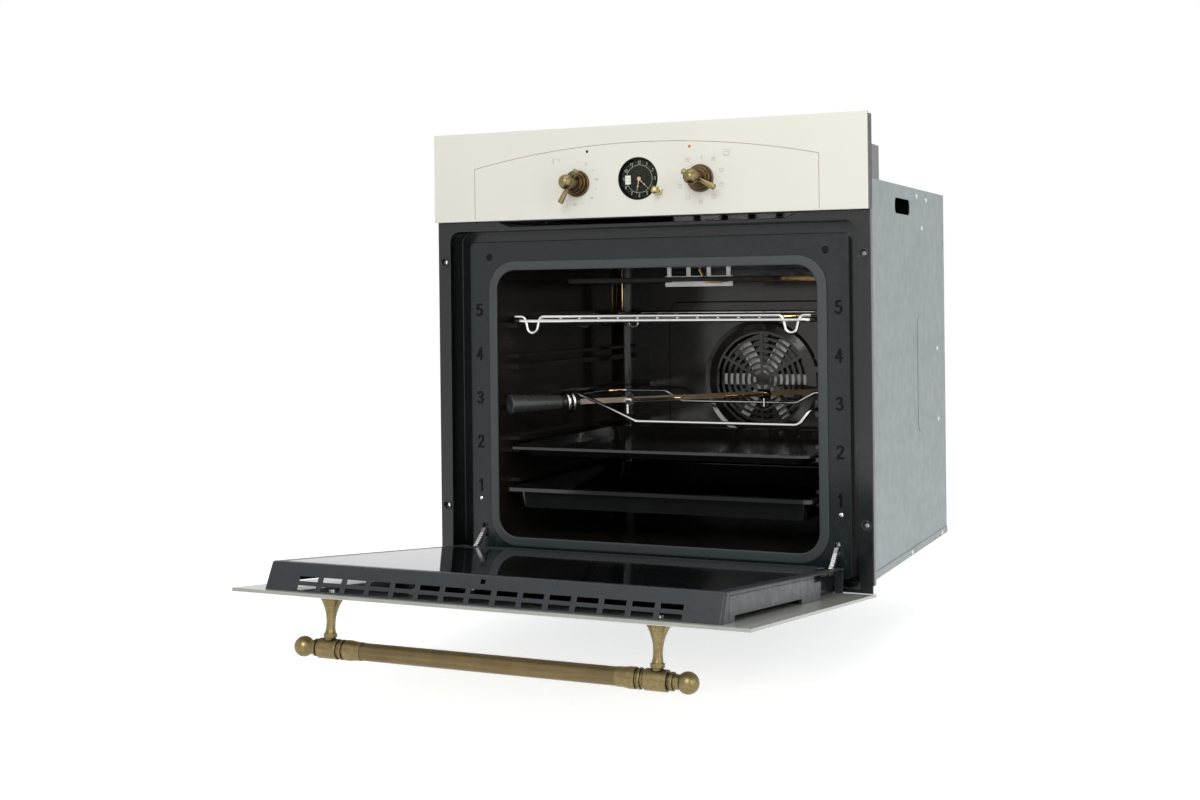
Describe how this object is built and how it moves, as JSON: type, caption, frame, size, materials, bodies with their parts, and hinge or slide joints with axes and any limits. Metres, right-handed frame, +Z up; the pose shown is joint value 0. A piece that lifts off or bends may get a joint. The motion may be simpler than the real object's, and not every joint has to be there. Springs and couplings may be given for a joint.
{
  "type": "built-in oven",
  "caption": "Built-in electric oven with a drop-down glass door, brass rail handle, lever knobs, clock, wire grid, pans and a diagonal rotisserie spit.",
  "frame": {"origin": "middle of the niche shelf's front edge, on the underside of the housing", "axes": "+X to the right seen from the front, +Y to the back of the oven, +Z up"},
  "size_m": [0.595, 0.9765, 0.6062],
  "materials": {
    "front_glass": "ivory enamel printed on the back of tempered glass, gloss",
    "black_glass": "black reflective tempered glass",
    "clear_glass": "clear gloss",
    "black_enamel": "vitreous enamel, semi gloss",
    "grey_enamel": "vitreous enamel, semi gloss",
    "frame_black": "satin paint",
    "liner_grey": "satin enamel",
    "gasket_grey": "matte, woven glass fibre over rubber",
    "number_grey": "enamel, raised",
    "zinc": "galvanised sheet, spangled satin",
    "screw_zinc": "bright zinc plating",
    "steel": "satin",
    "black_plastic": "moulded, fine grain",
    "brass": "aged bronze-brown lacquer, satin",
    "brass_dark": "aged, satin",
    "chrome_wire": "bright",
    "element": "heat-tinted, dull",
    "copper": "copper, satin",
    "tray_enamel": "vitreous enamel, gloss",
    "grip_black": "phenolic, gloss",
    "lens_dark": "dark lens, gloss",
    "lens_orange": "orange lens, gloss",
    "clock_body": "black, satin, with a pale printed dial",
    "hand_brown": "dark brown, satin",
    "lamp_glass": "warm, clear",
    "wool": "mineral wool, matte"
  },
  "bodies": {
    "housing": {"side_panel_left": "zinc", "side_panel_right": "zinc", "top_cover": "zinc", "base_tray": "zinc", "rear_panel": "zinc", "housing_screws": "screw_zinc", "terminal_box": "black_plastic", "front_frame": "frame_black", "fixing_cups": "frame_black", "face_plate": "grey_enamel", "opening_gasket": "gasket_grey", "level_numbers": "number_grey", "plate_fasteners": "screw_zinc", "cavity_liner": "black_enamel", "insulation": "wool", "rear_cover": "black_enamel", "fan_motor": "steel", "grill_element": "element", "grill_hanger": "steel", "sensor_bulb": "copper", "lamp_glass": "lamp_glass", "lamp_holder": "steel", "control_glass": "front_glass", "panel_carrier": "black_plastic", "panel_stays": "frame_black", "indicator_left": "lens_dark", "indicator_right": "lens_orange", "knob_rosettes": "brass", "rotary_switches": "black_plastic", "clock_case": "clock_body", "clock_lens": "clear_glass", "hinge_arms": "steel", "hinge_receivers": "steel", "spit_gearbox": "steel", "spit_cradle": "chrome_wire"},
    "door": {"door_glass": "front_glass", "door_liner": "liner_grey", "inner_glass": "black_glass", "door_hinges": "frame_black", "handle_bar": "brass", "handle_fittings": "brass", "handle_finials": "brass", "handle_posts": "brass", "handle_screws": "screw_zinc"},
    "selector": {"knob_left": "brass", "lever_left": "brass_dark"},
    "thermostat": {"knob_right": "brass", "lever_right": "brass_dark"},
    "clock_hours": {"hour_hand": "hand_brown"},
    "clock_minutes": {"minute_hand": "hand_brown"},
    "clock_setter": {"setting_knob": "brass"},
    "fan": {"fan_wheel": "steel"},
    "grid": {"wire_grid": "chrome_wire"},
    "tray": {"shallow_tray": "tray_enamel"},
    "pan": {"deep_pan": "tray_enamel"},
    "spit": {"spit_rod": "chrome_wire", "spit_handle": "grip_black", "spit_forks": "chrome_wire", "fork_screws": "chrome_wire", "spit_sleeve": "steel"}
  },
  "joints": [
    {"name": "door_hinge", "type": "hinge", "parent": "housing", "child": "door", "pos_m": [0, -0.012, 0.0012], "axis": [-1, 0, 0], "range_deg": [0, 83.86]},
    {"name": "selector_turn", "type": "hinge", "parent": "housing", "child": "selector", "pos_m": [-0.085, -0.02, 0.505], "axis": [0, 1, 0], "continuous": true},
    {"name": "thermostat_turn", "type": "hinge", "parent": "housing", "child": "thermostat", "pos_m": [0.085, -0.02, 0.505], "axis": [0, 1, 0], "range_deg": [-117.7, 152.3]},
    {"name": "clock_set", "type": "hinge", "parent": "housing", "child": "clock_setter", "pos_m": [0.0285, -0.02, 0.4915], "axis": [0, 1, 0], "continuous": true},
    {"name": "minute_turn", "type": "hinge", "parent": "housing", "child": "clock_minutes", "pos_m": [0, -0.02, 0.508], "axis": [0, 1, 0], "continuous": true},
    {"name": "hour_turn", "type": "hinge", "parent": "housing", "child": "clock_hours", "pos_m": [0, -0.02, 0.508], "axis": [0, 1, 0], "continuous": true},
    {"name": "fan_spin", "type": "hinge", "parent": "housing", "child": "fan", "pos_m": [0.018, 0.432, 0.2295], "axis": [0, 1, 0], "continuous": true},
    {"name": "spit_spin", "type": "hinge", "parent": "housing", "child": "spit", "pos_m": [-0.2105, 0.0245, 0.214], "axis": [0.6507, 0.7593, 0], "continuous": true},
    {"name": "grid_slide", "type": "slide", "parent": "housing", "child": "grid", "axis": [0, 1, 0], "range_m": [-0.3, 0.02]},
    {"name": "tray_slide", "type": "slide", "parent": "housing", "child": "tray", "axis": [0, 1, 0], "range_m": [-0.3, 0.025]},
    {"name": "pan_slide", "type": "slide", "parent": "housing", "child": "pan", "axis": [0, 1, 0], "range_m": [-0.3, 0.025]}
  ],
  "couplings": [
    {"joint": "minute_turn", "follows": "clock_set", "ratio": 1},
    {"joint": "hour_turn", "follows": "clock_set", "ratio": 0.083333}
  ]
}
